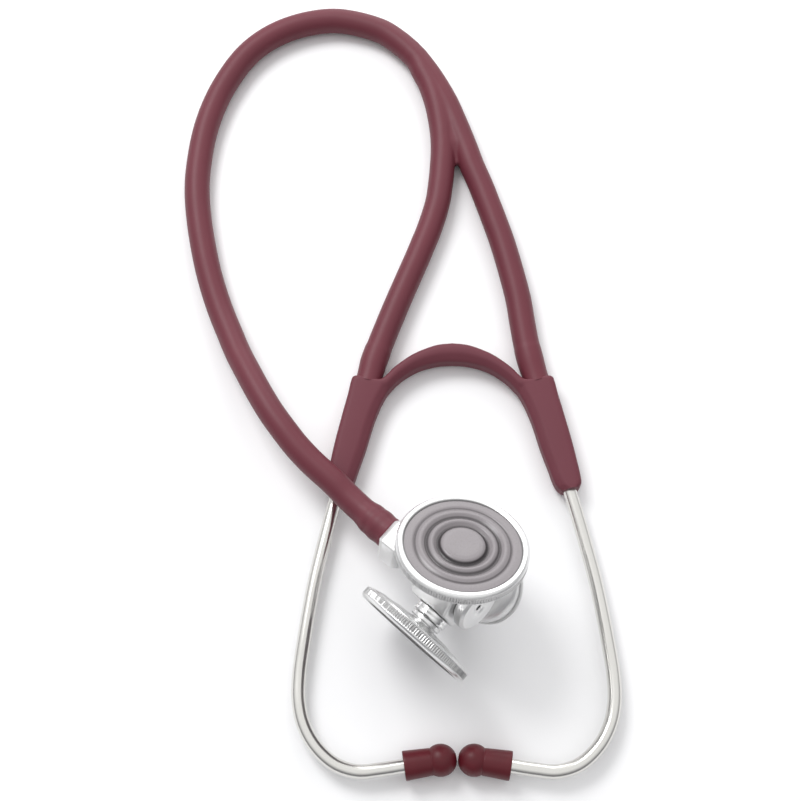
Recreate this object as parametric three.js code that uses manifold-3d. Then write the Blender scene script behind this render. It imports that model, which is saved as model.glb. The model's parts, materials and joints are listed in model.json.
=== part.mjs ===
// Triple-head cardiology stethoscope, lying on a flat surface. Millimetres, +Z up.
// +Y runs from the ear tips towards the spring yoke; the origin is under the middle
// of the headset and chestpiece, on the surface they lie on.
import * as THREE from 'three';
import { mergeVertices } from 'three/addons/utils/BufferGeometryUtils.js';
import Module from 'manifold-3d';

const wasm = await Module();
wasm.setup();

// ---------- driving dimensions ----------
const GAP = 0.3;                     // clearance between touching pieces
const SHIFT = [0, -0.3, 0];          // brings the origin under the middle of the rigid pieces

const TUBE_R = 5.55;                 // soft tubing
const TUBE_BORE_R = 2.5;
const BRANCH_BORE_R = 3.4;           // it slides over the top of an ear tube
const EAR_TUBE_R = 2.8;
const EAR_TUBE_BORE_R = 1.9;
const EAR_TUBE_STUB = 5;             // length of its top end inside the branch tube

const YOKE_T = 10.8;                 // thickness of the yoke moulding
const YOKE_EDGE = 0.8;               // bevel round its outline
const AXIS_Z = 5.6;                  // height of the ear tubes in the yoke
const LEG_BORE_R = 3.1;
const SPRING_W = 6;                  // leaf spring strip
const SPRING_T = 0.9;

const TIP_BALL_R = 6.3;
const TIP_BALL_X = 6.45;             // the two balls touch on the centre line
const TIP_Y = -82.4;
const TIP_Z = 6.3;
const TIP_SLANT = 8.7;               // degrees: the tips rise towards each other
const TIP_LENGTH = 14.4;             // ball centre to the end of the barrel

const CHEST = [-1.1, -19.8, 29.4];     // where the head axes meet the stem axis
const STEM_HEADING = 43.6;           // degrees towards -Y from +X
const STEM_RISE = 14.5;              // degrees
const HEAD_ROLL = 22.8;              // degrees: tilt of the corrugated head from upright
const SEAT = 12;                     // stem axis to the flat seats of the manifold
const STEM_END = 34.8;               // stem axis length from the heads to the tube end
const BARB = 11;                     // length of the spigot inside the tube
const RIM_R = 25.5;                  // outer radius of the diaphragm rims
const RIM_FACE = 26;                 // stem axis to the front face of a rim
const WINDOW_R = 22.3;               // visible radius of a diaphragm
const FLAT_TOP = 25.3;               // stem axis to the top of a flat diaphragm
const BELL_R = 17.5;
const BELL_FACE = 23.4;

const STEM_R = 6;
const SPINDLE_R = 4;                 // the heads turn on it
const SPINDLE_END = 8;
const FLANGE_FACE = -10.9;           // positions along the stem axis, from the heads' centre
const MANIFOLD_BACK = -10.5;
const MANIFOLD_FRONT = 7.5;
const COLLAR_BACK = -STEM_END + GAP;
const COLLAR_FRONT = -23.5;
const COLLAR_R = 10.2;               // to its corners
const O_RING_S = -5.5;
const PORT_R = 1.4;                  // sound passage into each head
const STEM_PORT_R = 1.2;
const DETENT_R = 8.4;                // distance of the detent ball from the stem axis
const DETENT_BALL_R = 1.15;
const DETENT_WIRE_R = 0.25;

const RAD = Math.PI / 180;
const v3 = (x, y, z = 0) => new THREE.Vector3(x, y, z);

// ---------- materials ----------
const finish = (color, roughness, metalness) =>
  new THREE.MeshStandardMaterial({ color, roughness, metalness });
const tubing = finish(0x7a3b48, 0.55, 0);
const vinyl = finish(0x7d4150, 0.5, 0);
const rubber = finish(0x6d2733, 0.5, 0);
const steel = finish(0xd6d4d0, 0.22, 1);
const satin = finish(0xcfcfcf, 0.38, 1);
const springSteel = finish(0x8c8c90, 0.35, 1);
const brass = finish(0xb89a5a, 0.35, 1);
const film = finish(0x918a8f, 0.3, 0);
const sealRubber = finish(0x2a2a2c, 0.7, 0);

// ---------- helpers ----------
function solid(geometry) {
  const bare = geometry.clone();
  bare.deleteAttribute('normal');
  bare.deleteAttribute('uv');
  const merged = mergeVertices(bare, 1e-4);
  return new wasm.Manifold(new wasm.Mesh({
    numProp: 3,
    vertProperties: new Float32Array(merged.attributes.position.array),
    triVerts: new Uint32Array(merged.index.array),
  }));
}

function geometryOf(manifold) {
  const mesh = manifold.getMesh();
  const geometry = new THREE.BufferGeometry();
  geometry.setAttribute('position', new THREE.BufferAttribute(mesh.vertProperties, 3));
  geometry.setIndex(new THREE.BufferAttribute(mesh.triVerts, 1));
  geometry.computeVertexNormals();
  return geometry;
}

function cut(geometry, ...tools) {
  let result = solid(geometry);
  for (const tool of tools) result = result.subtract(solid(tool));
  return geometryOf(result);
}

function join(...geometries) {
  let result = solid(geometries[0]);
  for (const other of geometries.slice(1)) result = result.add(solid(other));
  return geometryOf(result);
}

// A body turned about Z from [radius, height] points listed round the section.
function turned(points, segments = 24) {
  const profile = points.map(([r, z]) => new THREE.Vector2(r, z));
  const closed = points[0][0] === 0 ? profile : [...profile, profile[0]];
  const geometry = new THREE.LatheGeometry(closed, segments);
  geometry.rotateX(Math.PI / 2);
  const winding = closed.reduce((sum, p, i) => {
    const q = closed[(i + 1) % closed.length];
    return sum + p.x * q.y - q.x * p.y;
  }, 0);
  if (winding < 0) {
    const index = geometry.index.array;
    for (let i = 0; i < index.length; i += 3) [index[i], index[i + 1]] = [index[i + 1], index[i]];
  }
  return geometry;
}

function rod(radius, z0, z1, segments = 16) {
  return turned([[0, z0], [radius, z0], [radius, z1], [0, z1]], segments);
}

function circle(radius, sides) {
  const shape = new THREE.Shape();
  for (let i = 0; i <= sides; i++) {
    const angle = (i / sides) * 2 * Math.PI;
    const [x, y] = [radius * Math.cos(angle), radius * Math.sin(angle)];
    if (i === 0) shape.moveTo(x, y);
    else shape.lineTo(x, y);
  }
  return shape;
}

const splineOf = (points) =>
  new THREE.CatmullRomCurve3(points.map((p) => v3(...p)), false, 'centripetal');

function tubeAlong(curve, radius, boreRadius, sides, steps) {
  const section = circle(radius, sides);
  if (boreRadius > 0) section.holes.push(circle(boreRadius, 8));
  return new THREE.ExtrudeGeometry(section, { steps, extrudePath: curve, bevelEnabled: false });
}

function add(parent, name, geometry, material) {
  const mesh = new THREE.Mesh(geometry, material);
  mesh.name = name;
  parent.add(mesh);
  return mesh;
}

const mirrorX = (points) => points.map(([x, ...rest]) => [-x, ...rest]);

// ---------- stem direction ----------
const stemDir = v3(
  Math.cos(STEM_RISE * RAD) * Math.cos(STEM_HEADING * RAD),
  -Math.cos(STEM_RISE * RAD) * Math.sin(STEM_HEADING * RAD),
  Math.sin(STEM_RISE * RAD),
);
const across = v3(Math.sin(STEM_HEADING * RAD), Math.cos(STEM_HEADING * RAD), 0);
const upward = new THREE.Vector3().crossVectors(stemDir, across);
const corrugatedDir = upward.clone().multiplyScalar(Math.cos(HEAD_ROLL * RAD))
  .addScaledVector(across, Math.sin(HEAD_ROLL * RAD));
const chestCentre = v3(...CHEST);
const alongStem = (s) => chestCentre.clone().addScaledVector(stemDir, s);

const stethoscope = new THREE.Group();
stethoscope.position.set(...SHIFT);

// ---------- main tube: from the stem, over the left leg of the yoke, round to the Y ----------
const tubeEnd = alongStem(-STEM_END);
const barbStart = alongStem(-STEM_END - BARB);
const MAIN_ROUTE = [
  tubeEnd.toArray(), alongStem(-STEM_END - BARB / 2).toArray(), barbStart.toArray(),
  [-43.2, 20.6, 16.4], [-48.8, 26.4, 16.8], [-58.2, 35.2, 16.8], [-64.6, 42.2, 16.8],
  [-70.3, 49.7, 16.6], [-75.6, 57.4, 15.8], [-80.9, 66.6, 14.0], [-86.2, 76.8, 11.7],
  [-90.7, 85.9, 9.3], [-94.6, 95.2, 7.5], [-99.2, 106.5, 6.0], [-103.2, 118.0, 5.6],
  [-106.6, 130.2, 5.6], [-110.6, 150.4, 5.6], [-112.2, 165.3, 5.6], [-112.0, 178.0, 5.6],
  [-109.2, 198.3, 5.6], [-102.4, 218.2, 5.6], [-90.6, 236.8, 5.6], [-74.7, 248.2, 5.6],
  [-52.8, 253.2, 5.6], [-31.8, 248.0, 5.6], [-23.6, 242.3, 5.6], [-18.0, 236.9, 5.6],
  [-15.4, 233.8, 5.6],
];
const mainCurve = splineOf(MAIN_ROUTE);
add(stethoscope, 'main_tube', tubeAlong(mainCurve, TUBE_R, TUBE_BORE_R, 10, 46), tubing);

// ---------- moulded Y where the main tube divides ----------
const Y_TOP = [-14.95, 233.25, 5.6];
const Y_SHARED = [-13.95, 231.9, 5.6];
const Y_LEFT = [-3.0, 180.6, 5.6];
const Y_RIGHT = [9.4, 178.6, 5.6];
const WEB_R = 4.4;
const leftLimb = splineOf([
  Y_TOP, Y_SHARED, [-11.5, 226, 5.6], [-8.7, 220, 5.6], [-5.7, 210, 5.6], [-4.2, 202, 5.6],
  [-3.2, 194, 5.6], [-2.9, 186, 5.6], Y_LEFT,
]);
const rightLimb = splineOf([
  Y_TOP, Y_SHARED, [-10.0, 226, 5.6], [-6.5, 220, 5.6], [-1.5, 210, 5.6], [1.6, 202, 5.6],
  [4.5, 194, 5.6], [7.2, 186, 5.6], Y_RIGHT,
]);
const web = splineOf([[-1.7, 204, 5.6], [0.7, 194, 5.6], [2.2, 186, 5.6], [3.0, 180.9, 5.6]]);
const yBody = join(
  tubeAlong(leftLimb, TUBE_R, 0, 10, 14),
  tubeAlong(rightLimb, TUBE_R, 0, 10, 14),
  tubeAlong(web, WEB_R, 0, 10, 6),
);
const overshoot = (curve) => {
  const points = curve.getPoints(14);
  const first = points[0].clone().add(points[0].clone().sub(points[1]));
  const last = points[14].clone().add(points[14].clone().sub(points[13]));
  return splineOf([first, ...points, last].map((p) => p.toArray()));
};
add(stethoscope, 'y_junction', cut(
  yBody,
  tubeAlong(overshoot(leftLimb), TUBE_BORE_R, 0, 8, 16),
  tubeAlong(overshoot(rightLimb), TUBE_BORE_R, 0, 8, 16),
), tubing);

// ---------- branch tubes from the Y to the tops of the yoke legs ----------
const LEFT_ROUTE = [
  [-3.15, 179.9, 5.6], [-3.9, 171, 5.6], [-4.5, 166, 5.6], [-5.2, 161, 5.6], [-6.4, 155.8, 5.6],
  [-8.0, 150.3, 5.6], [-9.9, 144.5, 5.6], [-12.2, 138.5, 5.6], [-14.6, 132.2, 5.6],
  [-17.2, 125.8, 5.6], [-22.3, 113.2, 5.6], [-26.8, 101.6, 5.6], [-30.5, 91.6, 5.6],
  [-33.3, 83.6, 5.6], [-35.0, 76.9, 5.6],
];
const RIGHT_ROUTE = [
  [9.75, 177.8, 5.6], [11.4, 173.5, 5.6], [13.1, 169, 5.6], [14.8, 164.2, 5.6],
  [16.4, 159.2, 5.6], [18.2, 153.8, 5.6], [20.0, 148, 5.6], [21.8, 142.3, 5.6], [23.4, 136.4, 5.6],
  [26.3, 124.4, 5.6], [28.8, 112.4, 5.6], [30.3, 101, 5.6], [31.7, 91.4, 5.6],
  [33.3, 83.6, 5.6], [35.0, 76.9, 5.6],
];
add(stethoscope, 'branch_tube_left',
  tubeAlong(splineOf(LEFT_ROUTE), TUBE_R, BRANCH_BORE_R, 10, 16), tubing);
add(stethoscope, 'branch_tube_right',
  tubeAlong(splineOf(RIGHT_ROUTE), TUBE_R, BRANCH_BORE_R, 10, 16), tubing);

// ---------- spring yoke ----------
const OUTER_ARCH = [[31.2, 74.2], [28.2, 75.6], [24.2, 80.4], [18, 84.8], [10, 88.6], [0, 90.7]];
const INNER_ARCH = [[27.6, 68.9], [24, 73.0], [18.5, 77.4], [10, 81.2], [0, 82.5]];
const LEG_OUTLINE = [
  [31.6, 73.9], [33.4, 75.0], [36.0, 76.0], [41.8, 76.1], [43.6, 74.6], [46.4, 60],
  [52.2, 31.5], [52.2, 28.2], [51.0, 27.0], [44.8, 25.4], [42.6, 26.4], [41.3, 30],
  [36.4, 44], [33.2, 55.4], [30.4, 63.4], [28.0, 68.4],
];
const LEG_TOP = [34.9, 76.5];        // where the ear tube's axis leaves the leg, above
const LEG_END = [47.8, 26.1];        // and below
const SPRING_LINE = [[38.4, 44], [36.1, 53], [33.3, 61.4], [29.7, 70.8], [23, 77.7], [12.5, 83.9],
  [0, 86.6]];

function plate(outline, thickness, edge) {
  const shape = new THREE.Shape(outline.map(([x, y]) => new THREE.Vector2(x, y)));
  const geometry = new THREE.ExtrudeGeometry(shape, {
    depth: thickness - 2 * edge,
    bevelEnabled: edge > 0,
    bevelThickness: edge,
    bevelSize: edge,
    bevelOffset: -edge,
    bevelSegments: 1,
  });
  geometry.translate(0, 0, edge);
  return geometry;
}

function strip(line, width, thickness, steps) {
  const shape = new THREE.Shape();
  const [w, t] = [width / 2, thickness / 2];
  shape.moveTo(-w, -t);
  shape.lineTo(w, -t);
  shape.lineTo(w, t);
  shape.lineTo(-w, t);
  const curve = splineOf(line.map(([x, y]) => [x, y, AXIS_Z]));
  return new THREE.ExtrudeGeometry(shape, { steps, extrudePath: curve, bevelEnabled: false });
}

const acrossArch = (half) => [...half, ...mirrorX(half.slice(0, -1)).reverse()];
const springSlot = strip(acrossArch(SPRING_LINE), SPRING_W + 2 * GAP, SPRING_T + 2 * GAP, 36);
const smoothArch = (half) => {
  const line = acrossArch(half).map(([x, y]) => new THREE.Vector2(x, y));
  return new THREE.SplineCurve(line).getPoints(24).map((p) => [p.x, p.y]);
};
const archOutline = [...smoothArch(OUTER_ARCH), ...smoothArch(INNER_ARCH).reverse()];
add(stethoscope, 'yoke_arch', cut(plate(archOutline, YOKE_T, YOKE_EDGE), springSlot), vinyl);
add(stethoscope, 'leaf_spring', strip(acrossArch(SPRING_LINE), SPRING_W, SPRING_T, 36),
  springSteel);

for (const [side, sign] of [['left', -1], ['right', 1]]) {
  const place = (points) => (sign > 0 ? points : mirrorX(points));
  const outline = sign > 0 ? LEG_OUTLINE : mirrorX(LEG_OUTLINE).reverse();
  const [top, end] = place([LEG_TOP, LEG_END]);
  const axis = v3(top[0] - end[0], top[1] - end[1], 0).normalize();
  const bore = tubeAlong(new THREE.LineCurve3(
    v3(...end, AXIS_Z).addScaledVector(axis, -4),
    v3(...top, AXIS_Z).addScaledVector(axis, 4),
  ), LEG_BORE_R, 0, 16, 1);
  add(stethoscope, `yoke_leg_${side}`,
    cut(plate(outline, YOKE_T, YOKE_EDGE), bore, springSlot), vinyl);

  // Ear tube: straight through the leg, then bowed out and back to the tip.
  const upperEnd = v3(...top, AXIS_Z).addScaledVector(axis, EAR_TUBE_STUB);
  const route = [
    upperEnd.toArray(), [...top, AXIS_Z], v3(...top, AXIS_Z).lerp(v3(...end, AXIS_Z), 0.5).toArray(),
    [...end, AXIS_Z],
    ...place([
      [50.1, 17.2, 5.6], [52.9, 5.4, 5.6], [56.7, -12, 5.7], [60.4, -35.6, 5.9], [62.0, -50, 6],
      [61.9, -60, 6.1], [59.8, -68.8, 6.2], [55.0, -77.2, 6.3], [47.3, -84.0, 6.3],
      [38.6, -86.7, 6.3], [30, -86.0, 6.3],
    ]),
  ];
  const slant = v3(sign * Math.cos(TIP_SLANT * RAD), -Math.sin(TIP_SLANT * RAD), 0);
  const ball = v3(sign * TIP_BALL_X, TIP_Y, TIP_Z);
  route.push(ball.clone().addScaledVector(slant, TIP_LENGTH).toArray());
  route.push(ball.clone().addScaledVector(slant, 5.2).toArray());
  add(stethoscope, `ear_tube_${side}`,
    tubeAlong(splineOf(route), EAR_TUBE_R, EAR_TUBE_BORE_R, 10, 40), steel);

  // Ear tip: a ball and a short tapered barrel round the tube's end, with a threaded insert.
  const tip = new THREE.Group();
  tip.position.copy(ball);
  tip.quaternion.setFromUnitVectors(v3(0, 0, 1), slant);
  stethoscope.add(tip);
  const insertR = 4;
  add(tip, `ear_tip_${side}`, turned([
    [1.3, -TIP_BALL_R + 0.15], [3, -5.54], [4.9, -3.96], [6.05, -1.75], [TIP_BALL_R, 0],
    [6.05, 1.75], [5.3, 3.5], [5.5, 4.8], [5.75, 6], [5.75, TIP_LENGTH - 0.6],
    [5.3, TIP_LENGTH], [insertR + GAP, TIP_LENGTH], [insertR + GAP, 4.6], [1.3, 4.6],
  ], 16), rubber);
  add(tip, `ear_tip_insert_${side}`, turned([
    [EAR_TUBE_R + GAP, 5.2], [insertR, 5.2], [insertR, TIP_LENGTH - 1],
    [EAR_TUBE_R + GAP, TIP_LENGTH - 1],
  ], 12), brass);
}

// ---------- chestpiece ----------
// In this group +Z runs along the stem towards the end cap, and +X out of the corrugated head.
const chestpiece = new THREE.Group();
chestpiece.position.copy(chestCentre);
chestpiece.quaternion.setFromRotationMatrix(new THREE.Matrix4().makeBasis(
  corrugatedDir,
  new THREE.Vector3().crossVectors(stemDir, corrugatedDir),
  stemDir,
));
stethoscope.add(chestpiece);

const outward = (geometry, turn = 0) => {
  geometry.rotateY(Math.PI / 2);      // +Z of the piece to +X, out of a head
  geometry.rotateZ(turn);
  return geometry;
};

const stemBody = turned([
  [STEM_PORT_R, COLLAR_BACK - BARB], [1.7, COLLAR_BACK - BARB], [2.1, COLLAR_BACK],
  [STEM_R, COLLAR_BACK], [STEM_R, -13.4], [10.4, -13.4], [10.4, FLANGE_FACE],
  [SPINDLE_R, FLANGE_FACE], [SPINDLE_R, O_RING_S - 0.8], [3, O_RING_S - 0.8],
  [3, O_RING_S + 0.8], [SPINDLE_R, O_RING_S + 0.8], [SPINDLE_R, SPINDLE_END],
  [STEM_PORT_R, SPINDLE_END],
], 24);
const dimple = (i) => {
  const ball = new THREE.SphereGeometry(1.5, 8, 6);
  const angle = (i / 3) * 2 * Math.PI;
  ball.translate(DETENT_R * Math.cos(angle), DETENT_R * Math.sin(angle), FLANGE_FACE + 0.3);
  return ball;
};
add(chestpiece, 'stem', cut(stemBody, dimple(0.5), dimple(1.5), dimple(2.5),
  outward(rod(STEM_PORT_R, 0, SPINDLE_R + 1, 8))), satin);

// Six-sided collar pressed round the stem, behind the tube's end.
const collarBlock = turned([
  [0, COLLAR_BACK], [COLLAR_R - 1, COLLAR_BACK], [COLLAR_R, COLLAR_BACK + 2],
  [COLLAR_R, COLLAR_FRONT - 2.4], [COLLAR_R - 1.4, COLLAR_FRONT], [0, COLLAR_FRONT],
], 6);
add(chestpiece, 'stem_collar',
  cut(collarBlock, rod(STEM_R + GAP, COLLAR_BACK - 1, COLLAR_FRONT + 1, 24)), satin);

// Six-sided manifold with three flat seats for the heads.
const hexR = SEAT / Math.cos(Math.PI / 6);
const manifoldBlock = turned([
  [0, MANIFOLD_BACK], [hexR - 1, MANIFOLD_BACK], [hexR, MANIFOLD_BACK + 1],
  [hexR, MANIFOLD_FRONT - 0.8], [hexR - 0.8, MANIFOLD_FRONT], [0, MANIFOLD_FRONT],
], 6);
const ports = [0, 1, 2].map((i) => outward(rod(PORT_R, 2, 20, 8), (i / 3) * 2 * Math.PI));
const detentPocket = rod(1.6, MANIFOLD_BACK - 1, -4, 10);
detentPocket.translate(-DETENT_R, 0, 0);
const boreTool = rod(SPINDLE_R + GAP, MANIFOLD_BACK - 1, MANIFOLD_FRONT + 1, 24);
add(chestpiece, 'manifold', cut(manifoldBlock, boreTool, detentPocket, ...ports), satin);

add(chestpiece, 'spindle_o_ring', turned(
  Array.from({ length: 6 }, (_, i) => {
    const angle = (i / 6) * 2 * Math.PI;
    return [3.65 + 0.45 * Math.cos(angle), O_RING_S + 0.45 * Math.sin(angle)];
  }), 16), sealRubber);

// The ball is pressed into its pocket, as it is between two dimples, so that the heads can turn.
const ballS = FLANGE_FACE + DETENT_BALL_R + GAP;
const detentBall = new THREE.SphereGeometry(DETENT_BALL_R, 8, 6);
detentBall.translate(-DETENT_R, 0, ballS);
add(chestpiece, 'detent_ball', detentBall, steel);

const coilR = 0.95;
const coilStart = ballS + DETENT_BALL_R + DETENT_WIRE_R;
const coilRise = 0.13;                // per eighth of a turn
const coil = Array.from({ length: 29 }, (_, i) => {
  const angle = (i / 8) * 2 * Math.PI;
  return [-DETENT_R + coilR * Math.cos(angle), coilR * Math.sin(angle), coilStart + i * coilRise];
});
add(chestpiece, 'detent_spring', tubeAlong(splineOf(coil), DETENT_WIRE_R, 0, 5, 28), springSteel);

add(chestpiece, 'washer', turned([
  [2.2, SPINDLE_END + GAP], [4.8, SPINDLE_END + GAP], [4.8, SPINDLE_END + 0.9],
  [2.2, SPINDLE_END + 0.9],
], 16), steel);
add(chestpiece, 'retaining_screw', turned([
  [0, 4.6], [0.9, 4.6], [0.9, SPINDLE_END + 1.2], [3.6, SPINDLE_END + 1.2],
  [3.4, SPINDLE_END + 2.9], [0, SPINDLE_END + 2.9],
], 16), steel);
add(chestpiece, 'end_cap', turned([
  [5.8, MANIFOLD_FRONT + GAP], [8.6, MANIFOLD_FRONT + GAP], [8.6, 9.4], [10.3, 9.4], [10.4, 12.6],
  [9.2, 13.8], [1.3, 13.8], [1.3, 11.8], [5.8, 11.8],
], 24), satin);

// A diaphragm head, turned about +Z; the seat is at z = SEAT.
const BORE = PORT_R;
function headCup() {
  return turned([
    [BORE, SEAT + GAP], [5, SEAT + GAP], [5, 16], [6.7, 16], [6.7, 17.9], [5.4, 17.9], [5.4, 18.6],
    [9, 18.9], [16, 19.9], [22, 20.8], [23.8, 21.2], [23.8, 24], [21.6, 24], [20.8, 22.6],
    [12, 20.9], [BORE, 20.2],
  ], 24);
}
function lockRing() {
  return turned([[5.3, SEAT + GAP], [7.5, SEAT + GAP], [7.5, 15.2], [7.1, 15.7], [5.3, 15.7]], 20);
}
const gasket = () => turned([[21.7, 24.2], [23.8, 24.2], [23.8, 24.5], [21.7, 24.5]], 24);
function rim() {
  return turned([
    [24.1, 21.5], [24.7, 21.3], [RIM_R, 21.8], [RIM_R, 25.2], [24.5, RIM_FACE],
    [23.4, RIM_FACE], [WINDOW_R, 25.6], [24.1, 25.6],
  ], 30);
}
const flatFilm = () => turned([[0, 24.7], [23.8, 24.7], [23.8, FLAT_TOP], [0, FLAT_TOP]], 24);
function corrugatedFilm() {
  const wave = [[7.7, 0.9], [9.9, -0.1], [12.2, 0.7], [14.4, -0.1], [16.6, 0.5], [18.6, 0], [19.6, 0.2]];
  const upper = wave.map(([r, h]) => [r, FLAT_TOP + h]);
  const lower = wave.map(([r, h]) => [r, FLAT_TOP + h - 0.55]).reverse();
  return turned([
    [0, FLAT_TOP + 0.9], ...upper, [22.4, FLAT_TOP], [23.8, FLAT_TOP], [23.8, 24.75], ...lower,
    [0, FLAT_TOP + 0.35],
  ], 24);
}
const bellCup = () => turned([
  [BORE, SEAT + GAP], [5, SEAT + GAP], [5, 15.9], [6.2, 15.9], [10.5, 16.4], [14, 17.7],
  [15.9, 19.7], [16.3, BELL_FACE - 1], [15.3, BELL_FACE - 1], [14.4, 20.4], [11.5, 18.8],
  [6.5, 17.8], [BORE, 17.4],
], 24);
const bellRing = () => turned([
  [15.4, BELL_FACE - 0.7], [BELL_R - 0.5, BELL_FACE - 0.7], [BELL_R, BELL_FACE - 0.5],
  [BELL_R - 0.4, BELL_FACE], [15.4, BELL_FACE],
], 24);

const heads = [
  ['corrugated', 0, corrugatedFilm],
  ['flat', 1, flatFilm],
];
for (const [name, station, makeFilm] of heads) {
  const turn = (station * 2 * Math.PI) / 3;
  add(chestpiece, `${name}_head_cup`, outward(headCup(), turn), satin);
  add(chestpiece, `${name}_lock_ring`, outward(lockRing(), turn), steel);
  add(chestpiece, `${name}_gasket`, outward(gasket(), turn), sealRubber);
  add(chestpiece, `${name}_diaphragm`, outward(makeFilm(), turn), film);
  add(chestpiece, `${name}_rim`, outward(rim(), turn), satin);
}
const bellTurn = (2 * 2 * Math.PI) / 3;
add(chestpiece, 'bell_cup', outward(bellCup(), bellTurn), satin);
add(chestpiece, 'bell_lock_ring', outward(lockRing(), bellTurn), steel);
add(chestpiece, 'bell_ring', outward(bellRing(), bellTurn), satin);

export default stethoscope;
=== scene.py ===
# Cardiology stethoscope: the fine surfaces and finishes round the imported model. Metres, +Z up.
import json
import math

import bmesh
import bpy
import numpy as np
from mathutils import Matrix, Vector


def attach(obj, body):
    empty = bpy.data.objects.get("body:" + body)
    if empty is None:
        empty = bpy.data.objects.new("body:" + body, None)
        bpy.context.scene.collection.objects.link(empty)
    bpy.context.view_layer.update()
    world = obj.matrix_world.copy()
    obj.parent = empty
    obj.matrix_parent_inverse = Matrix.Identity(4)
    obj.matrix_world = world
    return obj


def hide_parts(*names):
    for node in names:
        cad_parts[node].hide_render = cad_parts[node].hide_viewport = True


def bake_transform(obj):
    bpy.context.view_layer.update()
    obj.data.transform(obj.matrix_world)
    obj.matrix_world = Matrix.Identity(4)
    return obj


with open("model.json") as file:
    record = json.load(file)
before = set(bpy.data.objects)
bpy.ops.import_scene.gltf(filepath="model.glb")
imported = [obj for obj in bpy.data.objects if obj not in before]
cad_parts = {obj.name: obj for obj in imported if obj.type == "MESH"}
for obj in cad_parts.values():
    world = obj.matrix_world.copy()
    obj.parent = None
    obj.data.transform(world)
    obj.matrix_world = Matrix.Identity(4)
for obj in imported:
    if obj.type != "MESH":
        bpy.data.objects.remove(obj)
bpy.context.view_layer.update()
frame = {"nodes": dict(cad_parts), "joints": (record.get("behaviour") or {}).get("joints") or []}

MM = 0.001
TAU = 2 * math.pi

# ---------- driving dimensions, in millimetres ----------
SHIFT = np.array([0, -0.3, 0])       # from the drawing's origin to the row frame
TUBE_R = 5.55
EAR_TUBE_R = 2.8
YOKE_T = 10.8
AXIS_Z = 5.6                         # height of the ear tubes and of the tubing that lies flat
HEAD_ROLL = math.radians(22.8)
SEAT = 12.3                          # stem axis to the back of a head's neck
STEM_END = 34.8
BARB = 11
COLLAR_BACK = -34.5
COLLAR_FRONT = -23.5
COLLAR_R = 10.2
RIM_R = 25.5
RIM_FACE = 26
WINDOW_R = 22.3
BELL_R = 17.5
BELL_FACE = 23.4
FLAT_TOP = 25.3
KNURLS = 150
KNURL_DEPTH = 0.36
TIP_BALL_R = 6.3
TIP_LENGTH = 14.4
TIP_SLANT = math.radians(8.7)
TIP_BALL = (6.45, -82.4, 6.3)

# ---------- camera ----------
VIEW_TARGET = Vector((-22, 67.7, 0)) * MM
VIEW_TILT = math.radians(20)
VIEW_DISTANCE = 640 * MM
VIEW_WIDTH = 340.4 * MM
SENSOR = 36


def add_camera():
    data = bpy.data.cameras.new("camera")
    data.sensor_width = SENSOR
    data.lens = SENSOR * VIEW_DISTANCE / VIEW_WIDTH
    camera = bpy.data.objects.new("camera", data)
    bpy.context.scene.collection.objects.link(camera)
    back = Vector((0, -math.sin(VIEW_TILT), math.cos(VIEW_TILT)))
    camera.location = VIEW_TARGET + back * VIEW_DISTANCE
    camera.rotation_mode = "QUATERNION"
    camera.rotation_quaternion = (-back).to_track_quat("-Z", "Y")
    bpy.context.scene.camera = camera


add_camera()


# ---------- curves ----------
def spline(points, per_span=8):
    """Points along a centripetal Catmull-Rom curve through the given ones."""
    given = np.array(points, float)
    ends = np.vstack([2 * given[0] - given[1], given, 2 * given[-1] - given[-2]])
    made = []
    for p0, p1, p2, p3 in zip(ends, ends[1:], ends[2:], ends[3:]):
        t0 = 0.0
        t1 = t0 + math.sqrt(np.linalg.norm(p1 - p0))
        t2 = t1 + math.sqrt(np.linalg.norm(p2 - p1))
        t3 = t2 + math.sqrt(np.linalg.norm(p3 - p2))
        for t in np.linspace(t1, t2, per_span, endpoint=False):
            a1 = ((t1 - t) * p0 + (t - t0) * p1) / (t1 - t0)
            a2 = ((t2 - t) * p1 + (t - t1) * p2) / (t2 - t1)
            a3 = ((t3 - t) * p2 + (t - t2) * p3) / (t3 - t2)
            b1 = ((t2 - t) * a1 + (t - t0) * a2) / (t2 - t0)
            b2 = ((t3 - t) * a2 + (t - t1) * a3) / (t3 - t1)
            made.append(((t2 - t) * b1 + (t - t1) * b2) / (t2 - t1))
    return np.array(made + [given[-1]])


def lengths(path):
    return np.concatenate([[0], np.cumsum(np.linalg.norm(np.diff(path, axis=0), axis=1))])


def in_frame(points):
    """Drawing points in millimetres as row frame points in metres."""
    return (np.array(points, float) + SHIFT) * MM


def mirror_x(points):
    return [(-p[0], *p[1:]) for p in points]


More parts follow.
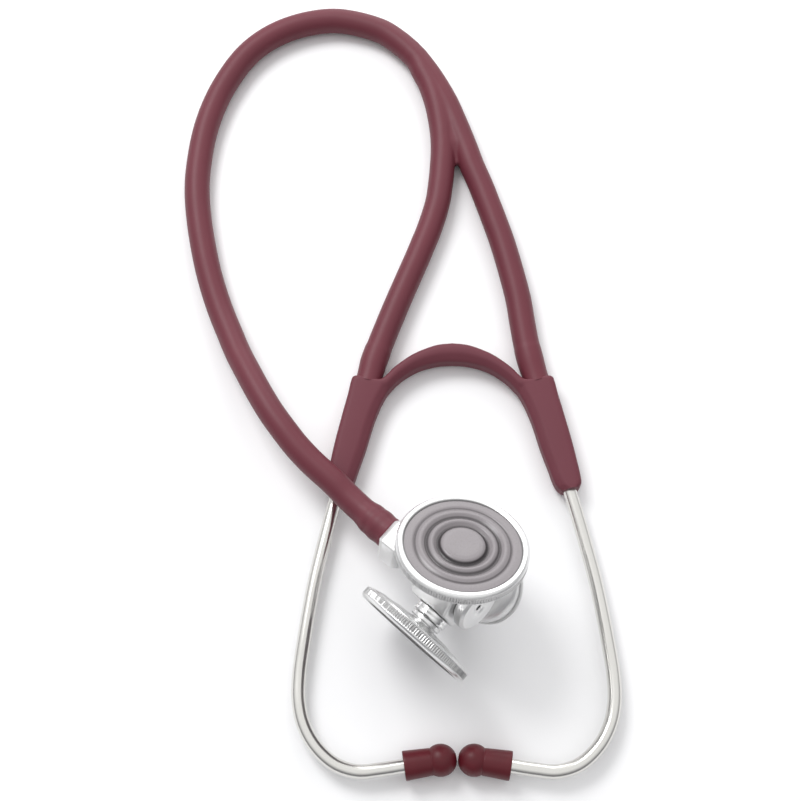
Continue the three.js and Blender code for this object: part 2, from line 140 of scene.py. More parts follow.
# ---------- finishes ----------
def shade_bands(nodes, links, place, colour_out, rings):
    """Paints shade on a turned face: darkens it between given distances along its profile, with soft
    edges.
    """
    split = nodes.new("ShaderNodeSeparateXYZ")
    links.new(place.outputs["UV"], split.inputs["Vector"])
    for middle, half_width, depth in rings:
        apart = nodes.new("ShaderNodeMath")
        apart.operation = "SUBTRACT"
        apart.inputs[1].default_value = middle
        links.new(split.outputs["Y"], apart.inputs[0])
        distance = nodes.new("ShaderNodeMath")
        distance.operation = "ABSOLUTE"
        links.new(apart.outputs["Value"], distance.inputs[0])
        shade = nodes.new("ShaderNodeMapRange")
        shade.interpolation_type = "SMOOTHSTEP"
        shade.inputs["From Min"].default_value = half_width * GROOVE_CORE
        shade.inputs["From Max"].default_value = half_width
        shade.inputs["To Min"].default_value = depth
        shade.inputs["To Max"].default_value = 0
        links.new(distance.outputs["Value"], shade.inputs["Value"])
        darker = nodes.new("ShaderNodeMix")
        darker.data_type = "RGBA"
        darker.inputs[7].default_value = GROOVE_SHADE
        links.new(shade.outputs["Result"], darker.inputs["Factor"])
        links.new(colour_out, darker.inputs[6])
        colour_out = darker.outputs[2]
    return colour_out


GLOSS_SPREAD = 0.06                  # how far a finish's roughness strays to either side
GRAIN_DEPTH = 0.05 * MM
GROOVE_SHADE = (0.02, 0.016, 0.018, 1)
GROOVE_CORE = 0.35                   # the part of a groove's half width that is fully dark


def finish(name, colour, roughness, metallic=0.0, tone=0.12, grain=2500, bump=0.2,
           streak=None, clouds=45, specular=0.32, rings=None):
    """A finish whose tone, gloss and grain change over the surface.

    streak stretches its grain, and rings paints shade on it in darker bands, as the function above
    says.
    """
    material = bpy.data.materials.new(name)
    material.use_nodes = True
    nodes, links = material.node_tree.nodes, material.node_tree.links
    shader = nodes["Principled BSDF"]
    shader.inputs["Metallic"].default_value = metallic
    shader.inputs["Specular IOR Level"].default_value = specular

    place = nodes.new("ShaderNodeTexCoord")
    fine_place = nodes.new("ShaderNodeMapping")
    fine_place.inputs["Scale"].default_value = streak or (1, 1, 1)
    links.new(place.outputs["UV" if streak else "Object"], fine_place.inputs["Vector"])

    slow = nodes.new("ShaderNodeTexNoise")
    slow.inputs["Scale"].default_value = clouds
    slow.inputs["Detail"].default_value = 3
    links.new(place.outputs["Object"], slow.inputs["Vector"])
    fine = nodes.new("ShaderNodeTexNoise")
    fine.inputs["Scale"].default_value = 1 if streak else grain
    fine.inputs["Detail"].default_value = 4
    links.new(fine_place.outputs["Vector"], fine.inputs["Vector"])

    tint = nodes.new("ShaderNodeMix")
    tint.data_type = "RGBA"
    tint.inputs[6].default_value = (*[c * (1 - tone) for c in colour], 1)
    tint.inputs[7].default_value = (*[min(1, c * (1 + tone)) for c in colour], 1)
    links.new(slow.outputs["Fac"], tint.inputs["Factor"])
    colour_out = tint.outputs[2]
    if rings:
        colour_out = shade_bands(nodes, links, place, colour_out, rings)
    links.new(colour_out, shader.inputs["Base Color"])

    gloss = nodes.new("ShaderNodeMapRange")
    gloss.inputs["From Min"].default_value = 0.3
    gloss.inputs["From Max"].default_value = 0.7
    gloss.inputs["To Min"].default_value = max(0.02, roughness - GLOSS_SPREAD)
    gloss.inputs["To Max"].default_value = roughness + GLOSS_SPREAD
    links.new(fine.outputs["Fac"], gloss.inputs["Value"])
    links.new(gloss.outputs["Result"], shader.inputs["Roughness"])

    relief = nodes.new("ShaderNodeBump")
    relief.inputs["Strength"].default_value = bump
    relief.inputs["Distance"].default_value = GRAIN_DEPTH
    links.new(fine.outputs["Fac"], relief.inputs["Height"])
    links.new(relief.outputs["Normal"], shader.inputs["Normal"])
    return material


TUBING = finish("tubing", (0.136, 0.028, 0.041), 0.48, tone=0.10, grain=2200, bump=0.35)
VINYL = finish("yoke_vinyl", (0.134, 0.031, 0.045), 0.58, tone=0.07, grain=3200, bump=0.5)
TIP_RUBBER = finish("ear_tip_rubber", (0.098, 0.008, 0.014), 0.42, tone=0.22, grain=2600,
                    bump=0.3, clouds=190)
EAR_STEEL = finish("ear_tube_steel", (0.73, 0.72, 0.69), 0.2, 1.0, 0.05, bump=0.10,
                   streak=(2.5, 0.06, 1))
TURNED_CHROME = finish("satin_chrome", (0.80, 0.80, 0.80), 0.27, 1.0, 0.04, bump=0.12,
                       streak=(0.05, 5, 1))
SATIN_CHROME = finish("blasted_chrome", (0.84, 0.84, 0.84), 0.38, 1.0, 0.04, 3500, 0.2)
BRIGHT_CHROME = finish("bright_chrome", (0.85, 0.85, 0.85), 0.13, 1.0, 0.03, 2500, 0.05)
SPRING_STEEL = finish("spring_steel", (0.42, 0.42, 0.44), 0.32, 1.0, 0.1, 1500, 0.2)
BRASS = finish("brass", (0.70, 0.55, 0.28), 0.3, 1.0, 0.08, 1500, 0.15)
FILM_LOOK = dict(roughness=0.3, tone=0.05, grain=3000, bump=0.12, specular=0.5)
FILM_GREY = (0.235, 0.215, 0.225)
FILM = finish("diaphragm_film", FILM_GREY, **FILM_LOOK)
# Painted shade in the grooves of the corrugated film, as (distance along its profile, half width,
# darkness).
GROOVE_PAINTED_SHADE = [(9.6, 1.5, 0.92), (15.1, 1.3, 0.78), (19.9, 0.7, 0.6)]
CORRUGATED_FILM = finish("corrugated_film", FILM_GREY, rings=GROOVE_PAINTED_SHADE, **FILM_LOOK)
# Painted shade on a rim's knurled band and a painted shadow along the edge inside its face, in the
# same terms.
RIM_PAINTED_SHADE = [(3.1, 1.9, 0.42), (8.2, 0.5, 0.7)]
RIM_CHROME = finish("rim_chrome", (0.80, 0.80, 0.80), 0.3, 1.0, 0.04, 3500, 0.2, rings=RIM_PAINTED_SHADE)
SEAL = finish("seal_rubber", (0.03, 0.03, 0.032), 0.6, tone=0.15, grain=2500, bump=0.4)

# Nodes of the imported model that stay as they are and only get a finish.
HIDDEN_NODES = {
    "detent_spring": SPRING_STEEL, "detent_ball": BRIGHT_CHROME,
    "washer": BRIGHT_CHROME, "retaining_screw": BRIGHT_CHROME, "spindle_o_ring": SEAL,
    "corrugated_gasket": SEAL, "flat_gasket": SEAL,
    "ear_tip_insert_left": BRASS, "ear_tip_insert_right": BRASS,
}
for node, material in HIDDEN_NODES.items():
    frame["nodes"][node].data.materials.clear()
    frame["nodes"][node].data.materials.append(material)


# ---------- meshes ----------
def loft(name, rings, material, sharp=35, capped=True, along=None):
    """A skin through rings of equally many points. Its UVs are millimetres round and along it."""
    rows, columns = len(rings), len(rings[0])
    points = np.array(rings, float)
    faces = []
    for i in range(rows - 1):
        for j in range(columns):
            k = (j + 1) % columns
            faces.append((i * columns + j, i * columns + k,
                          (i + 1) * columns + k, (i + 1) * columns + j))
    side_faces = len(faces)
    if capped:
        faces.append(tuple(range(columns))[::-1])
        faces.append(tuple((rows - 1) * columns + j for j in range(columns)))
    mesh = bpy.data.meshes.new(name)
    mesh.from_pydata(points.reshape(-1, 3).tolist(), [], faces)
    round_mm = lengths(np.vstack([points[rows // 2], points[rows // 2][:1]])) / MM
    along_mm = (lengths(points.mean(axis=1)) if along is None else np.array(along)) / MM
    uv = mesh.uv_layers.new(name="round_and_along")
    for face in mesh.polygons[:side_faces]:
        i, j = divmod(face.index, columns)
        corners = ((i, j), (i, j + 1), (i + 1, j + 1), (i + 1, j))
        for loop, (row, column) in zip(face.loop_indices, corners):
            uv.data[loop].uv = (round_mm[column], along_mm[row])
    return made_piece(name, mesh, material, sharp)


def made_piece(name, mesh, material, sharp=35):
    """A piece from a mesh, with its double points joined and its faces turned outwards."""
    work = bmesh.new()
    work.from_mesh(mesh)
    bmesh.ops.remove_doubles(work, verts=work.verts, dist=0.001 * MM)
    bmesh.ops.dissolve_degenerate(work, edges=work.edges, dist=0.0005 * MM)
    bmesh.ops.recalc_face_normals(work, faces=work.faces)
    work.to_mesh(mesh)
    work.free()
    mesh.shade_smooth()
    mesh.set_sharp_from_angle(angle=math.radians(sharp))
    mesh.materials.append(material)
    piece = bpy.data.objects.new(name, mesh)
    bpy.context.scene.collection.objects.link(piece)
    return piece


def place_piece(piece, body, slot, *nodes):
    """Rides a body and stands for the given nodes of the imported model."""
    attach(piece, body)
    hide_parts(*nodes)
    return piece


def sweep(name, path, radius_at, material, sides=32):
    """A round bar along a path in metres. radius_at gives millimetres at a length in millimetres."""
    tangents = np.gradient(path, axis=0)
    tangents /= np.linalg.norm(tangents, axis=1)[:, None]
    side = np.cross(tangents[0], (0, 0, 1))
    side /= np.linalg.norm(side)
    rings = []
    for point, tangent, s in zip(path, tangents, lengths(path) / MM):
        side = side - tangent * side.dot(tangent)
        side /= np.linalg.norm(side)
        other = np.cross(tangent, side)
        r = radius_at(s) * MM
        rings.append([point + r * (side * math.cos(a) + other * math.sin(a))
                      for a in np.linspace(0, TAU, sides, endpoint=False)])
    return loft(name, rings, material, along=lengths(path))


def smooth_step(low, high, x):
    t = min(1.0, max(0.0, (x - low) / (high - low)))
    return t * t * (3 - 2 * t)


def rounded(profile, radius):
    """The closed profile with each corner that is off the axis turned into a small arc."""
    corners = [np.array(p, float) for p in profile]
    made = []
    for i, corner in enumerate(corners):
        before, after = corners[i - 1], corners[(i + 1) % len(corners)]
        to_before, to_after = before - corner, after - corner
        reach = min(radius, 0.4 * np.linalg.norm(to_before), 0.4 * np.linalg.norm(to_after))
        if corner[0] < 1e-6 or reach < 1e-6:
            made.append(corner)
            continue
        start = corner + to_before / np.linalg.norm(to_before) * reach
        finish_at = corner + to_after / np.linalg.norm(to_after) * reach
        for t in np.linspace(0, 1, 5):
            made.append((1 - t) ** 2 * start + 2 * t * (1 - t) * corner + t * t * finish_at)
    return made


def turned(name, profile, origin, axis, material, corner=0.25, segments=128, sharp=50,
           radius_change=None):
    """A body turned round an axis from a closed profile of [radius, distance along], millimetres."""
    line = rounded(profile, corner)
    axis = Vector(axis).normalized()
    side = axis.orthogonal().normalized()
    other = axis.cross(side)
    rings = []
    for r, z in line:
        ring = []
        for k in range(segments):
            angle = TAU * k / segments
            reach = r + (radius_change(r, z, angle) if radius_change else 0)
            ring.append(origin + (axis * z + (side * math.cos(angle)
                                              + other * math.sin(angle)) * reach) * MM)
        rings.append(ring)
    if profile[0][0] > 0:
        rings.append(rings[0])
    around = np.array([*line, line[0]]) * MM
    return loft(name, rings, material, sharp, capped=False, along=lengths(around)[:len(rings)])


def hexagonal(name, profile, origin, axis, first_side, material):
    """A six-sided body with eased edges. first_side points at a corner."""
    axis, first_side = Vector(axis).normalized(), Vector(first_side).normalized()
    other = axis.cross(first_side)
    rings = [[origin + (axis * z + (first_side * math.cos(k * TAU / 6)
                                    + other * math.sin(k * TAU / 6)) * r) * MM
              for k in range(6)] for r, z in profile]
    piece = loft(name, rings, material)
    eased = piece.modifiers.new("eased_edges", "BEVEL")
    eased.width = 0.45 * MM
    eased.segments = 4
    eased.limit_method = "ANGLE"
    eased.angle_limit = math.radians(20)
    eased.harden_normals = True
    return settled(piece)


def settled(piece, sharp=50):
    """Applies the piece's modifiers."""
    graph = bpy.context.evaluated_depsgraph_get()
    mesh = bpy.data.meshes.new_from_object(piece.evaluated_get(graph))
    piece.modifiers.clear()
    piece.data = mesh
    mesh.shade_smooth()
    mesh.set_sharp_from_angle(angle=math.radians(sharp))
    return piece


# ---------- chestpiece directions, from the joint that the heads turn on ----------
head_joint = next(j for j in frame["joints"] if j["name"] == "head_select")
CHEST = Vector(head_joint["pos_m"])
STEM_DIR = Vector(head_joint["axis"]).normalized()
ACROSS = Vector((-STEM_DIR.y, STEM_DIR.x, 0)).normalized()
UPWARD = STEM_DIR.cross(ACROSS)
CORRUGATED_DIR = UPWARD * math.cos(HEAD_ROLL) + ACROSS * math.sin(HEAD_ROLL)


def head_dir(station):
    return Matrix.Rotation(station * TAU / 3, 3, STEM_DIR) @ CORRUGATED_DIR


def along_stem(s):
    return tuple(np.array(CHEST + STEM_DIR * s * MM) / MM - SHIFT)


# ---------- tubing: the routes repeat the drawing's ----------
MAIN_ROUTE = [
    along_stem(-STEM_END), along_stem(-STEM_END - BARB / 2), along_stem(-STEM_END - BARB),
    (-43.2, 20.6, 16.4), (-48.8, 26.4, 16.8), (-58.2, 35.2, 16.8), (-64.6, 42.2, 16.8),
    (-70.3, 49.7, 16.6), (-75.6, 57.4, 15.8), (-80.9, 66.6, 14.0), (-86.2, 76.8, 11.7),
    (-90.7, 85.9, 9.3), (-94.6, 95.2, 7.5), (-99.2, 106.5, 6.0), (-103.2, 118.0, 5.6),
    (-106.6, 130.2, 5.6), (-110.6, 150.4, 5.6), (-112.2, 165.3, 5.6), (-112.0, 178.0, 5.6),
    (-109.2, 198.3, 5.6), (-102.4, 218.2, 5.6), (-90.6, 236.8, 5.6), (-74.7, 248.2, 5.6),
    (-52.8, 253.2, 5.6), (-31.8, 248.0, 5.6), (-23.6, 242.3, 5.6), (-18.0, 236.9, 5.6),
    (-15.4, 233.8, 5.6),
]
LEFT_ROUTE = [
    (-3.15, 179.9), (-3.9, 171), (-4.5, 166), (-5.2, 161), (-6.4, 155.8), (-8.0, 150.3),
    (-9.9, 144.5), (-12.2, 138.5), (-14.6, 132.2), (-17.2, 125.8), (-22.3, 113.2),
    (-26.8, 101.6), (-30.5, 91.6), (-33.3, 83.6), (-35.0, 76.9),
]
RIGHT_ROUTE = [
    (9.75, 177.8), (11.4, 173.5), (13.1, 169), (14.8, 164.2), (16.4, 159.2), (18.2, 153.8),
    (20.0, 148), (21.8, 142.3), (23.4, 136.4), (26.3, 124.4), (28.8, 112.4), (30.3, 101),
    (31.7, 91.4), (33.3, 83.6), (35.0, 76.9),
]
BARB_STRETCH = 1.05
BARB_RIPPLE = 0.14
BARB_PITCH = 6.5
SWELLING = 0.22
END_EASE = 0.35
LIMB_TUCK = 0.25                     # a limb of the Y is this much thinner at its hidden ends
LIMB_PROUD = 0.06                    # and this much thicker than a tube where it shows
TUBE_SIDES = 40
Y_VOXEL = 0.4 * MM
Y_EASING = 26
Y_SHARED = (-13.95, 231.9)
Y_LEFT = [Y_SHARED, (-11.5, 226), (-8.7, 220), (-5.7, 210), (-4.2, 202), (-3.2, 194), (-2.9, 186)]
Y_RIGHT = [Y_SHARED, (-10.0, 226), (-6.5, 220), (-1.5, 210), (1.6, 202), (4.5, 194), (7.2, 186)]
WEB = [(-3.6, 210), (-1.3, 202), (0.7, 194), (2.2, 186), (3.5, 178)]   # fills the fork
WEB_R = (5.4, 4.7, 1.6)              # at its start, near the fork and at its tip
INTO_YOKE = {"left": (-35.9, 73.6), "right": (35.9, 73.6)}   # hidden ends of the branch tubes


def lying(points):
    return [(x, y, AXIS_Z) for x, y in points]


def main_radius(s):
    """The tube is stretched over the stem's barbed spigot at its near end."""
    stretched = BARB_STRETCH * (1 - smooth_step(10, 17, s))
    barbs = BARB_RIPPLE * math.cos(s * TAU / BARB_PITCH) * (1 - smooth_step(11, 14, s))
    lip = -END_EASE * (1 - smooth_step(0, 0.7, s))
    return TUBE_R + stretched + barbs + lip


def branch_radius(total):
    """The tube swells a little where the ear tube's top end is inside it."""
    def radius(s):
        near_end = smooth_step(total - 17.5, total - 15.5, s)
        return TUBE_R + SWELLING * near_end - END_EASE * smooth_step(total - 12, total - 2, s)
    return radius


main_path = in_frame(spline(MAIN_ROUTE, 10))
main_tube = sweep("main_tubing", main_path, main_radius, TUBING, TUBE_SIDES)
place_piece(main_tube, "root", "tubing", "main_tube")


def limb_radius(total):
    """A limb of the Y is hidden inside the plain tubes at both of its ends."""
    def radius(s):
        shown = smooth_step(0, 7, s) * (1 - smooth_step(total - 6, total, s))
        return TUBE_R - LIMB_TUCK + (LIMB_TUCK + LIMB_PROUD) * shown
    return radius


branch_paths = {
    side: in_frame(spline(lying([*route, INTO_YOKE[side]]), 8))
    for side, route in (("left", LEFT_ROUTE), ("right", RIGHT_ROUTE))
}


def y_limb(name, side, middle):
    """From inside the end of the main tube to inside the start of a branch."""
    shared_start = main_path[[-18, -11, -4]]
    shared_end = branch_paths[side][[1, 5, 9]]
    path = spline([*shared_start, *in_frame(lying(middle)), *shared_end], 6)
    return sweep(name, path, limb_radius(lengths(path)[-1] / MM), TUBING, TUBE_SIDES)


def web_radius(s):
    start, middle, tip = WEB_R
    widest = start + (middle - start) * smooth_step(0, 20, s)
    return widest + (tip - middle) * smooth_step(22, 33, s)


def make_y():
    """Both limbs and the web between them, joined into one smooth moulding."""
    piece = y_limb("tubing_y", "left", Y_LEFT)
    right_limb = y_limb("right_limb", "right", Y_RIGHT)
    web = sweep("web", in_frame(spline(lying(WEB), 6)), web_radius, TUBING, TUBE_SIDES)
    whole = bmesh.new()
    for part in (piece, right_limb, web):
        whole.from_mesh(part.data)
    whole.to_mesh(piece.data)
    whole.free()
    bpy.data.objects.remove(right_limb)
    bpy.data.objects.remove(web)
    merged = piece.modifiers.new("merged", "REMESH")
    merged.mode = "VOXEL"
    merged.voxel_size = Y_VOXEL
    eased = piece.modifiers.new("eased", "SMOOTH")
    eased.iterations = Y_EASING
    return settled(piece, sharp=80)


y_piece = make_y()
place_piece(y_piece, "root", "tubing", "y_junction")

for side, path in branch_paths.items():
    arm = f"{side}_arm"
    total = lengths(path)[-1]
    tube = sweep(f"branch_tubing_{side}", path, branch_radius(total / MM), TUBING, TUBE_SIDES)
    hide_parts(f"branch_tube_{side}")
    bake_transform(tube)

# ---------- yoke: one moulding, made as two halves that meet in the middle of the arch ----------
# Each pair is a point on the inner edge and the point across from it on the outer edge.
YOKE_SECTIONS = [
    ((0, 82.5), (0, 90.7)), ((5.2, 82.2), (6.2, 90.0)), ((10, 81.2), (12.2, 87.9)),
    ((14.6, 79.6), (17.4, 85.3)), ((18.5, 77.4), (22, 82.0)), ((21.6, 75.1), (25.3, 79.2)),
    ((24.0, 72.9), (27.8, 76.4)), ((26.0, 70.6), (30.2, 74.5)), ((27.4, 68.9), (33.4, 74.6)),
    ((28.4, 67.2), (37.5, 75.6)), ((29.1, 65.8), (40.9, 76.0)), ((29.5, 65.0), (42.1, 75.5)),
    ((30.0, 64.0), (42.7, 74.2)), ((31.5, 60.2), (44.2, 67.5)), ((33.2, 55.4), (46.1, 60)),
    ((36.4, 44), (49.2, 47.0)), ((39.2, 35.6), (51.1, 37.6)), ((41.0, 30), (52.2, 31.5)),
    ((42.4, 27.2), (52.3, 28.6)), ((44.2, 25.5), (51.3, 27.0)),
]
# The upper half of a section: distance from the inner (+) or outer (-) edge, and height from the
# middle of the moulding. The inner side has a broad bevel with a soft ridge above it.
SECTION_HALF = [
    (0, 0), (0, 1.9), (0.05, 2.6), (0.25, 3.1), (0.65, 3.5), (1.4, 4.0), (2.2, 4.5), (2.7, 4.8),
    (3.15, 5.02), (3.6, 5.16), (4.1, 5.26), (-2.9, 5.34), (-2.1, 5.3), (-1.4, 5.12),
    (-0.8, 4.75), (-0.35, 4.2), (-0.08, 3.5), (-0.01, 2.8), (-0.01, 1.5),
]
FULL_WIDTH = 8.0                      # narrower sections shrink their bevels


def yoke_section(inner, outer):
    """One ring of the moulding, across from an inner edge point to an outer one."""
    across = outer - inner
    width = np.linalg.norm(across)
    shrink = min(1, width / FULL_WIDTH)
    upper = [((d if d >= 0 else width / shrink + d) * shrink, h) for d, h in SECTION_HALF]
    lower = [(d, -h) for d, h in reversed(upper[1:])]
    ring = []
    for d, h in [*upper, (width, 0), *lower]:
        x, y = inner + across / width * d
        ring.append(((x + SHIFT[0]) * MM, (y + SHIFT[1]) * MM, (YOKE_T / 2 + h) * MM))
    return ring


# The leaf spring inside the moulding, from the middle of the arch down one leg.
SPRING_LINE = [
    (0, 86.6), (12.5, 83.9), (23, 77.7), (29.7, 70.8), (33.3, 61.4), (36.1, 53), (38.4, 44),
]
SPRING_T = 0.9
SPRING_H = 6.0
SIDES = (("left", -1, "left_arm"), ("right", 1, "right_arm"))


def spring_section(point, along):
    """A rectangle across the strip."""
    nx, ny = along[1] * SPRING_T / 2, -along[0] * SPRING_T / 2
    corners = ((1, -1), (1, 1), (-1, 1), (-1, -1))
    return [
        ((point[0] + n * nx + SHIFT[0]) * MM, (point[1] + n * ny + SHIFT[1]) * MM,
         (YOKE_T / 2 + z * SPRING_H / 2) * MM)
        for n, z in corners
    ]


def bend_with_arm(piece):
    """Bakes the piece's placement into its mesh."""
    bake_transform(piece)


for side, sign, arm in SIDES:
    spring_path = spline([(sign * x, y) for x, y in SPRING_LINE], 8)
    headings = np.gradient(spring_path, axis=0)
    headings /= np.linalg.norm(headings, axis=1)[:, None]
    sections = [spring_section(p, d) for p, d in zip(spring_path, headings)]
    strip = loft(f"leaf_spring_{side}_half", sections, SPRING_STEEL, sharp=60)
    if side == "left":
        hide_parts("leaf_spring")
    bend_with_arm(strip)

for side, sign, arm in SIDES:
    inner_line = spline([(sign * x, y) for (x, y), _ in YOKE_SECTIONS], 6)
    outer_line = spline([(sign * x, y) for _, (x, y) in YOKE_SECTIONS], 6)
    rings = [yoke_section(a, b) for a, b in zip(inner_line, outer_line)]
    half = loft(f"yoke_{side}_half", rings, VINYL, sharp=60)
    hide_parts(f"yoke_leg_{side}", *(["yoke_arch"] if side == "left" else []))
    bend_with_arm(half)

# ---------- ear tubes and tips ----------
LEG_TOP = np.array([34.9, 76.5, AXIS_Z])
LEG_END = np.array([47.8, 26.1, AXIS_Z])
EAR_TUBE_STUB = 5                    # of ear tube inside the branch tube
EAR_TUBE_TIP = 5.2                   # from the middle of the tip's ball to the tube's end
EAR_BOW = [
    (50.1, 17.2, 5.6), (52.9, 5.4, 5.6), (56.7, -12, 5.7), (60.4, -35.6, 5.9), (62.0, -50, 6),
    (61.9, -60, 6.1), (59.8, -68.8, 6.2), (55.0, -77.2, 6.3), (47.3, -84.0, 6.3),
    (38.6, -86.7, 6.3), (30, -86.0, 6.3),
]
leg_axis = (LEG_TOP - LEG_END) / np.linalg.norm(LEG_TOP - LEG_END)
slant = np.array([math.cos(TIP_SLANT), -math.sin(TIP_SLANT), 0])
ear_route = [
    tuple(LEG_TOP + leg_axis * EAR_TUBE_STUB), tuple(LEG_TOP), tuple((LEG_TOP + LEG_END) / 2),
    tuple(LEG_END), *EAR_BOW,
    tuple(np.array(TIP_BALL) + slant * TIP_LENGTH), tuple(np.array(TIP_BALL) + slant * EAR_TUBE_TIP),
]
BARREL_START = 3.9
tip_ball_arc = [
    (TIP_BALL_R * math.sin(a), -TIP_BALL_R * math.cos(a))
    for a in np.linspace(math.radians(12), math.radians(125), 26)
]
TIP_PROFILE = [
    *tip_ball_arc, (5.28, BARREL_START), (5.3, 4.6), (5.45, 7.5), (5.62, 11), (5.75, 13.6),
    (5.7, TIP_LENGTH), (3.15, TIP_LENGTH), (3.1, 4.6), (1.3, 4.4),
]
for side, sign in (("left", -1), ("right", 1)):
    route = ear_route if sign > 0 else mirror_x(ear_route)
    tube = sweep(f"steel_ear_tube_{side}", in_frame(spline(route, 12)),
                 lambda s: EAR_TUBE_R, EAR_STEEL, TUBE_SIDES)
    place_piece(tube, f"{side}_ear", "ear_tube_steel", f"ear_tube_{side}")
    ball = Vector(in_frame((sign * TIP_BALL[0], *TIP_BALL[1:])))
    tip = turned(f"soft_ear_tip_{side}", TIP_PROFILE, ball, (sign * slant[0], slant[1], 0),
                 TIP_RUBBER, corner=0.3, segments=72, sharp=60)
    place_piece(tip, f"{side}_ear", "ear_tip_rubber", f"ear_tip_{side}")


# ---------- chestpiece: stem ----------
STEM_PROFILE = [
    (1.2, COLLAR_BACK - BARB), (1.7, COLLAR_BACK - BARB), (2.1, COLLAR_BACK), (6, COLLAR_BACK),
    (6, -14.6), (7.6, -13.9), (10.4, -13.4), (10.4, -10.9), (4, -10.9), (4, 8), (1.2, 8),
]
stem = turned("turned_stem", STEM_PROFILE, CHEST, STEM_DIR, TURNED_CHROME)
place_piece(stem, "root", "satin_chrome", "stem")

collar = hexagonal("hexagonal_collar", [
    (COLLAR_R - 1.3, COLLAR_BACK), (COLLAR_R, COLLAR_BACK + 2.2),
    (COLLAR_R, COLLAR_FRONT - 2.4), (COLLAR_R - 1.4, COLLAR_FRONT),
], CHEST, STEM_DIR, CORRUGATED_DIR, SATIN_CHROME)
place_piece(collar, "root", "satin_chrome", "stem_collar")

# ---------- chestpiece: the turning part ----------
MANIFOLD_HALF_WIDTH = 12             # across its flats
HEX_R = MANIFOLD_HALF_WIDTH / math.cos(math.radians(30))
manifold = hexagonal("six_sided_manifold", [
    (HEX_R - 1, -10.5), (HEX_R, -9.6), (HEX_R, 6.7), (HEX_R - 0.8, 7.5),
], CHEST, STEM_DIR, Matrix.Rotation(TAU / 12, 3, STEM_DIR) @ CORRUGATED_DIR, SATIN_CHROME)
place_piece(manifold, "heads", "satin_chrome", "manifold")

cap = turned("end_cap_cover", [
    (5.8, 7.8), (8.6, 7.8), (8.6, 9.4), (10.3, 9.5), (10.4, 12.4), (9.2, 13.6), (4.6, 13.8),
    (3.2, 13.5), (2.3, 12.9), (1.3, 12.8), (1.3, 11.8), (5.8, 11.8),
], CHEST, STEM_DIR, SATIN_CHROME)
place_piece(cap, "heads", "satin_chrome", "end_cap")


def knurl(r, z, angle):
    """Fine straight ridges on the outer edge of a rim."""
    in_band = smooth_step(21.9, 22.2, z) * (1 - smooth_step(24.3, 24.6, z))
    on_edge = smooth_step(RIM_R - 0.4, RIM_R - 0.1, r)
    return -KNURL_DEPTH * in_band * on_edge * (0.5 + 0.5 * math.cos(KNURLS * angle))


RIM_PROFILE = [
    (24.1, 21.6), (24.7, 21.4), (RIM_R, 21.8), (RIM_R, 22.3), (RIM_R, 23.2), (RIM_R, 24.2),
    (RIM_R, 24.9), (25.0, 25.55), (24.4, RIM_FACE), (23.5, RIM_FACE), (23.0, 25.9),
    (WINDOW_R, 25.5), (24.0, 25.5),
]
CUP_PROFILE = [
    (1.4, SEAT), (5, SEAT), (5, 16), (6.5, 16), (6.7, 16.3), (6.7, 17.6), (6.4, 17.9), (5.4, 17.9),
    (5.4, 18.5), (9, 18.9), (12.6, 19.3), (12.9, 19.15), (16, 19.75), (19.4, 20.2), (19.7, 20.05),
    (22, 20.6), (23.8, 21.1), (23.8, 24), (21.6, 24), (20.8, 22.6), (12, 20.9), (1.4, 20.2),
]
LOCK_PROFILE = [
    (5.3, SEAT), (7.2, SEAT), (7.5, 12.6), (7.5, 13.6), (7.25, 13.75), (7.25, 14.0), (7.5, 14.15),
    (7.5, 15.2), (7.1, 15.7), (5.3, 15.7),
]
BELL_PROFILE = [
    (1.4, SEAT), (5, SEAT), (5, 15.9), (6.2, 15.9), (8.4, 16.05), (10.5, 16.4), (12.5, 17.05),
    (14, 17.8), (15.2, 18.8), (16.0, 20.1), (16.3, 21.4), (16.3, BELL_FACE - 1),
    (15.3, BELL_FACE - 1), (14.4, 20.4), (11.5, 18.8), (6.5, 17.8), (1.4, 17.4),
]
BELL_RING_PROFILE = [
    (15.4, BELL_FACE - 0.7), (BELL_R - 0.5, BELL_FACE - 0.7), (BELL_R, BELL_FACE - 0.5),
    (BELL_R - 0.4, BELL_FACE), (15.4, BELL_FACE),
]

# Height of the corrugated diaphragm over its flat outer band, out from its centre.
WAVE = [
    (0, 0.9), (7.5, 0.9), (8.4, 0.5), (9.1, -0.35), (9.8, -0.6), (10.5, -0.15), (11.3, 0.5),
    (12.3, 0.6), (13.2, 0.1), (14.0, -0.4), (14.8, -0.1), (15.7, 0.42), (16.8, 0.45),
    (17.8, 0.1), (18.5, -0.2), (19.2, 0.02), (20, 0.1), (22.4, 0), (23.8, 0),
]
FILM_T = 0.5


def film_profile(heights):
    upper = [(r, FLAT_TOP + h) for r, h in heights]
    lower = [(r, FLAT_TOP + h - FILM_T) for r, h in reversed(heights)]
    return [*upper, *lower]


wave_line = [(max(0.0, r), h) for r, h in spline(WAVE, 4)]
for station, (name, heights) in enumerate(
        (("corrugated", wave_line), ("flat", [(0, 0), (8, 0), (16, 0), (23.8, 0)]))):
    film = CORRUGATED_FILM if name == "corrugated" else FILM
    direction = head_dir(station)

    def head_piece(label, profile, material, slot, node, **looks):
        piece = turned(f"{name}_{label}", profile, CHEST, direction, material, **looks)
        return place_piece(piece, "heads", slot, f"{name}_{node}")

    head_piece("knurled_ring", RIM_PROFILE, RIM_CHROME, "bright_chrome", "rim", segments=800,
               corner=0.18, radius_change=knurl)
    head_piece("film", film_profile(heights), film, "diaphragm_film", "diaphragm", corner=0.02)
    head_piece("back", CUP_PROFILE, TURNED_CHROME, "satin_chrome", "head_cup")
    head_piece("neck_ring", LOCK_PROFILE, BRIGHT_CHROME, "bright_chrome", "lock_ring",
               corner=0.12)

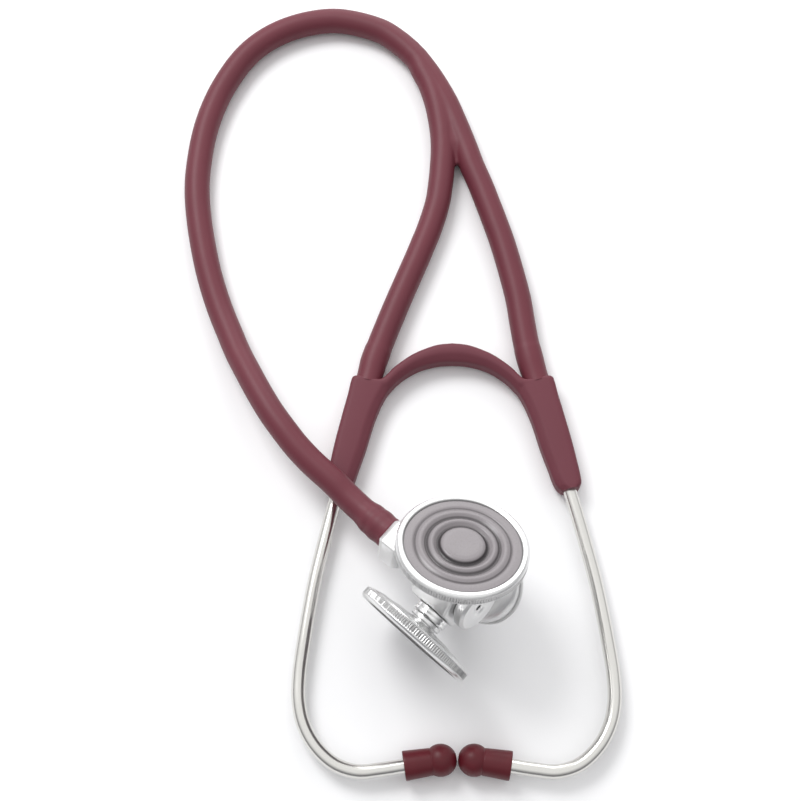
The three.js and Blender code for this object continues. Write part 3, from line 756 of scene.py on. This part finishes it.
bell_dir = head_dir(2)
bell = turned("bell_shell", BELL_PROFILE, CHEST, bell_dir, SATIN_CHROME, corner=0.5)
place_piece(bell, "heads", "satin_chrome", "bell_cup")
bell_neck = turned("bell_neck_ring", LOCK_PROFILE, CHEST, bell_dir, BRIGHT_CHROME, corner=0.12)
place_piece(bell_neck, "heads", "bright_chrome", "bell_lock_ring")
bell_ring = turned("bell_edge_ring", BELL_RING_PROFILE, CHEST, bell_dir, SATIN_CHROME, corner=0.2)
place_piece(bell_ring, "heads", "satin_chrome", "bell_ring")


# ---------- floor and light ----------
FLOOR_SIZE = 6
FLOOR_DROP = 0.2 * MM                # keeps the floor clear of what lies on it
SKY_LEAN = 0.42                      # how much brighter the sky is towards +Y


def add_floor():
    bpy.ops.mesh.primitive_plane_add(size=FLOOR_SIZE, location=(0, 0, -FLOOR_DROP))
    floor = bpy.context.object
    floor.name = "floor"
    floor.data.materials.append(finish("paper", (0.92, 0.92, 0.93), 0.7, tone=0.01, bump=0.02))


def add_light(name, location, target, size, power):
    data = bpy.data.lights.new(name, "AREA")
    data.shape = "DISK"
    data.size = size
    data.energy = power
    lamp = bpy.data.objects.new(name, data)
    bpy.context.scene.collection.objects.link(lamp)
    lamp.location = location
    lamp.rotation_mode = "QUATERNION"
    lamp.rotation_quaternion = (Vector(target) - Vector(location)).to_track_quat("-Z", "Y")


def add_sky():
    """A soft white ceiling, darker towards the horizon and brighter on the +Y side."""
    world = bpy.data.worlds.new("studio")
    bpy.context.scene.world = world
    world.use_nodes = True
    nodes, links = world.node_tree.nodes, world.node_tree.links
    place = nodes.new("ShaderNodeTexCoord")
    split = nodes.new("ShaderNodeSeparateXYZ")
    ramp = nodes.new("ShaderNodeValToRGB")
    ramp.color_ramp.elements[0].position = 0.05
    ramp.color_ramp.elements[0].color = (0.24, 0.24, 0.25, 1)
    ramp.color_ramp.elements[1].position = 0.75
    ramp.color_ramp.elements[1].color = (1, 1, 1, 1)
    lean = nodes.new("ShaderNodeMath")
    lean.operation = "MULTIPLY_ADD"
    lean.inputs[1].default_value = SKY_LEAN
    links.new(place.outputs["Generated"], split.inputs["Vector"])
    links.new(split.outputs["Y"], lean.inputs[0])
    links.new(split.outputs["Z"], lean.inputs[2])
    links.new(lean.outputs["Value"], ramp.inputs["Fac"])
    links.new(ramp.outputs["Color"], nodes["Background"].inputs["Color"])
    nodes["Background"].inputs["Strength"].default_value = 1.0


add_floor()
add_sky()
add_light("key", (-0.5, 0.7, 1.0), (0, 0.05, 0), 0.6, 8)
add_light("low_panel", (0.15, 1.15, 0.42), (0, 0, 0.03), 0.7, 3)
bpy.context.scene.view_settings.view_transform = "Standard"
